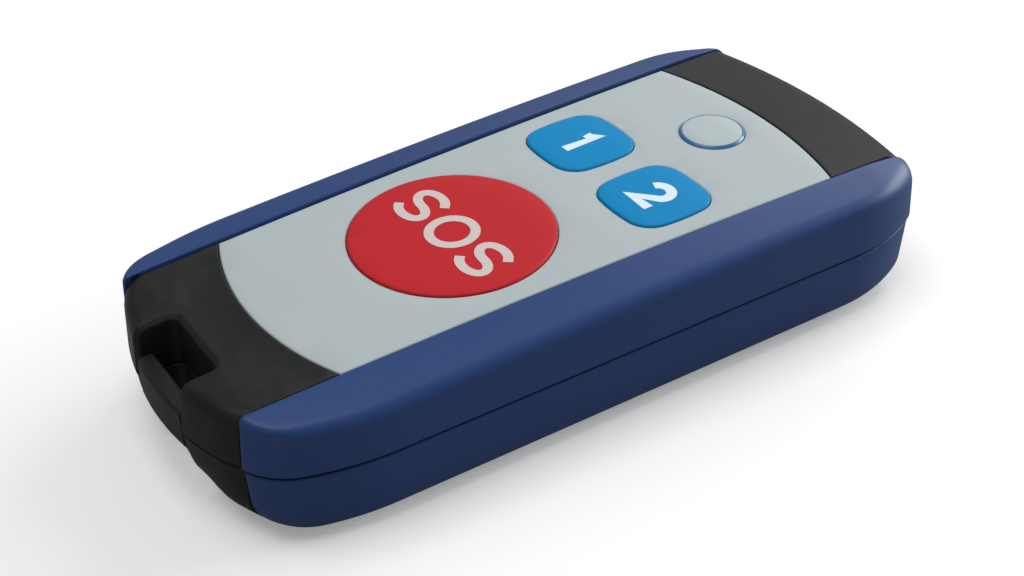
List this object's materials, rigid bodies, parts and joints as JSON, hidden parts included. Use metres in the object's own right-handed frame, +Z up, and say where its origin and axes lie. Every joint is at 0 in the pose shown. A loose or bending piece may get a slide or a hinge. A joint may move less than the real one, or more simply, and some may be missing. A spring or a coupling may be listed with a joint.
{
  "type": "panic button",
  "caption": "Hand-held wireless panic button on a key-ring bar, with a large round SOS key, numbered keys and an indicator lamp.",
  "frame": {"origin": "middle of the underside, at the middle of the length", "axes": "+X towards the indicator end, away from the key-ring notch; +Y towards key one; +Z up, out of the key face"},
  "size_m": [0.0724, 0.0342, 0.0138],
  "materials": {
    "case_black": "fine matte moulded black plastic",
    "bar_black": "satin moulded black plastic",
    "grip_blue": "satin moulded dark blue plastic",
    "panel_grey": "satin light grey film",
    "lens_grey": "smooth translucent light grey plastic",
    "ring_blue": "smooth blue plastic",
    "key_red": "satin red plastic",
    "key_blue": "satin bright blue plastic",
    "seal_rubber": "soft black rubber",
    "screw_steel": "plain steel",
    "cell_steel": "bright steel can",
    "contact_steel": "plated spring steel",
    "board_green": "green board laminate",
    "chip_black": "black moulded package",
    "chip_metal": "metal can",
    "capacitor_tan": "tan ceramic",
    "lamp_white": "clear white lamp",
    "switch_grey": "dark grey switch body",
    "plunger_black": "black plunger",
    "strip_copper": "bare copper strip",
    "legend_white": "printed off-white signs on the keys"
  },
  "bodies": {
    "housing": {"top_case": "case_black", "bottom_case": "case_black", "key_ring_bar": "bar_black", "front_panel": "panel_grey", "indicator_lens": "lens_grey", "indicator_ring": "ring_blue", "case_seal": "seal_rubber", "case_screws": "screw_steel", "circuit_board": "board_green", "coin_cell": "cell_steel", "battery_clip": "contact_steel", "cell_contact": "contact_steel", "status_led": "lamp_white", "control_chip": "chip_black", "radio_chip": "chip_black", "crystal": "chip_metal", "chip_capacitors": "capacitor_tan", "antenna_strip": "strip_copper", "sos_switch": "switch_grey", "key_one_switch": "switch_grey", "key_two_switch": "switch_grey", "upper_grip_left": "grip_blue", "lower_grip_left": "grip_blue", "upper_grip_right": "grip_blue", "lower_grip_right": "grip_blue"},
    "sos": {"sos_key": "key_red", "sos_plunger": "plunger_black"},
    "one": {"key_one": "key_blue", "key_one_plunger": "plunger_black"},
    "two": {"key_two": "key_blue", "key_two_plunger": "plunger_black"}
  },
  "joints": [
    {"name": "sos_press", "type": "slide", "parent": "housing", "child": "sos", "axis": [0, 0, -1], "range_m": [0, 0.0003], "stiffness_N_per_m": 5000},
    {"name": "one_press", "type": "slide", "parent": "housing", "child": "one", "axis": [0, 0, -1], "range_m": [0, 0.0003], "stiffness_N_per_m": 5000},
    {"name": "two_press", "type": "slide", "parent": "housing", "child": "two", "axis": [0, 0, -1], "range_m": [0, 0.0003], "stiffness_N_per_m": 5000}
  ]
}
